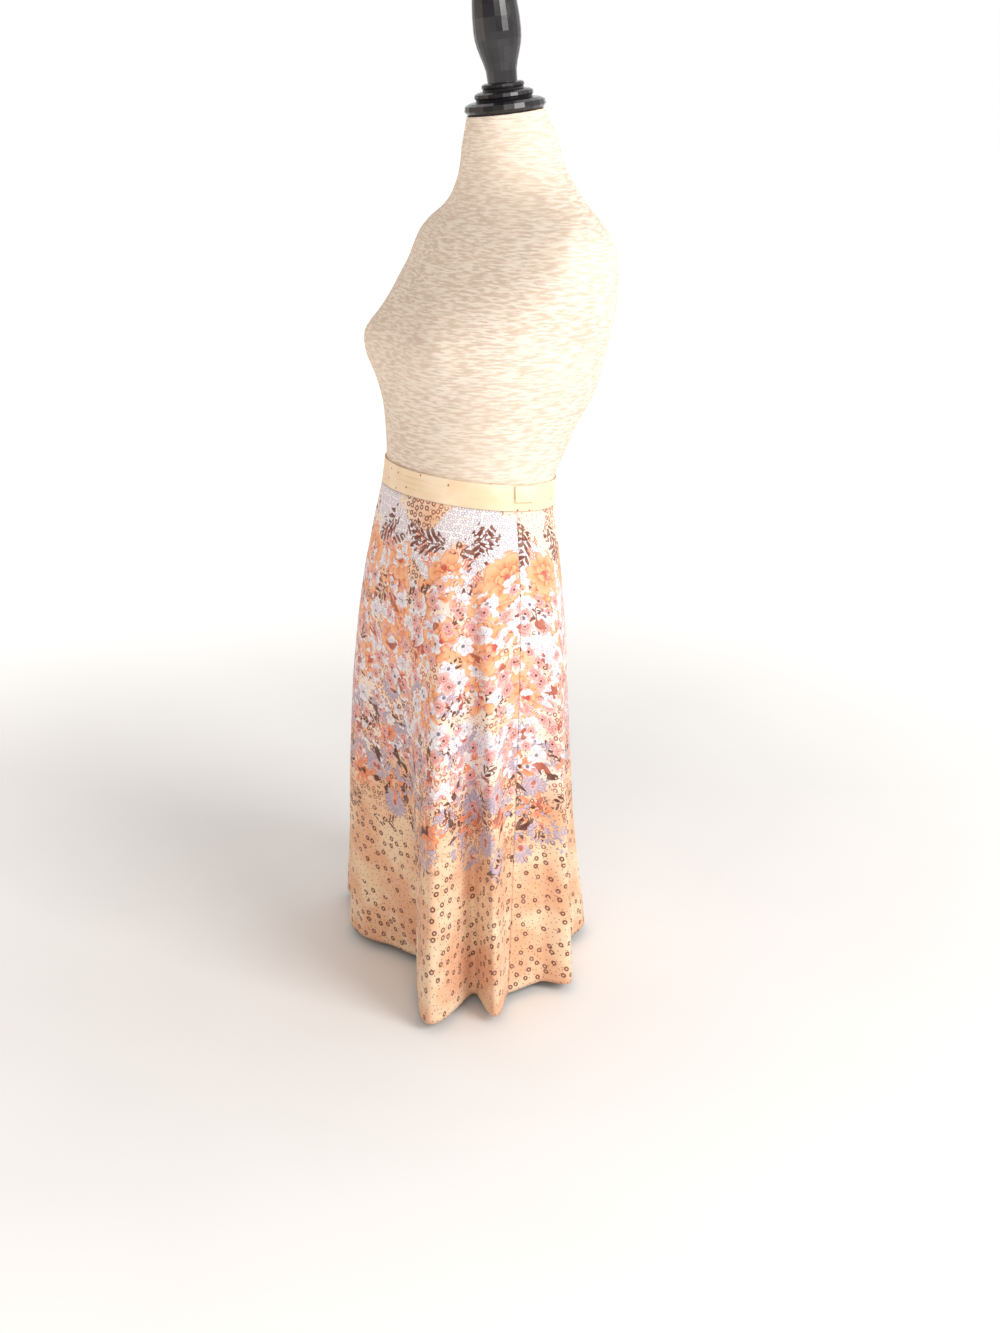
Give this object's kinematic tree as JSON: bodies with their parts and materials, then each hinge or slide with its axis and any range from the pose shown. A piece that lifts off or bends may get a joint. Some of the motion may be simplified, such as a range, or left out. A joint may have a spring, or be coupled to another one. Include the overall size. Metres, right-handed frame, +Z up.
{
  "type": "a-line skirt worn on a limbless dress form",
  "caption": "Long a-line skirt with a tucked waistband and floral print, hanging in loose folds on a linen dress form that stands on a round base.",
  "frame": {"origin": "middle of the round base's underside, on the floor", "axes": "+Z up along the pole; the form faces -Y, and the wearer's left is +X"},
  "size_m": [0.3986, 0.3083, 1.1725],
  "materials": {
    "print_cloth": "soft matt woven cloth, printed with flowers, leaves and dots on a peach ground",
    "band_cloth": "the same cloth, nearly plain cream with a few brown dots",
    "linen_cover": "plain slubby cream linen stretched over a firm torso",
    "black_lacquer": "turned wood in glossy black lacquer",
    "black_iron": "satin black paint"
  },
  "bodies": {
    "root": {"skirt_front": "print_cloth", "skirt_back": "print_cloth", "waistband_front": "band_cloth", "waistband_back": "band_cloth", "waistband_tab": "band_cloth", "dress_form": "linen_cover", "neck_cap": "black_lacquer", "finial": "black_lacquer", "stand_collar": "black_iron", "stand_pole": "black_iron", "stand_base": "black_iron"}
  },
  "joints": []
}
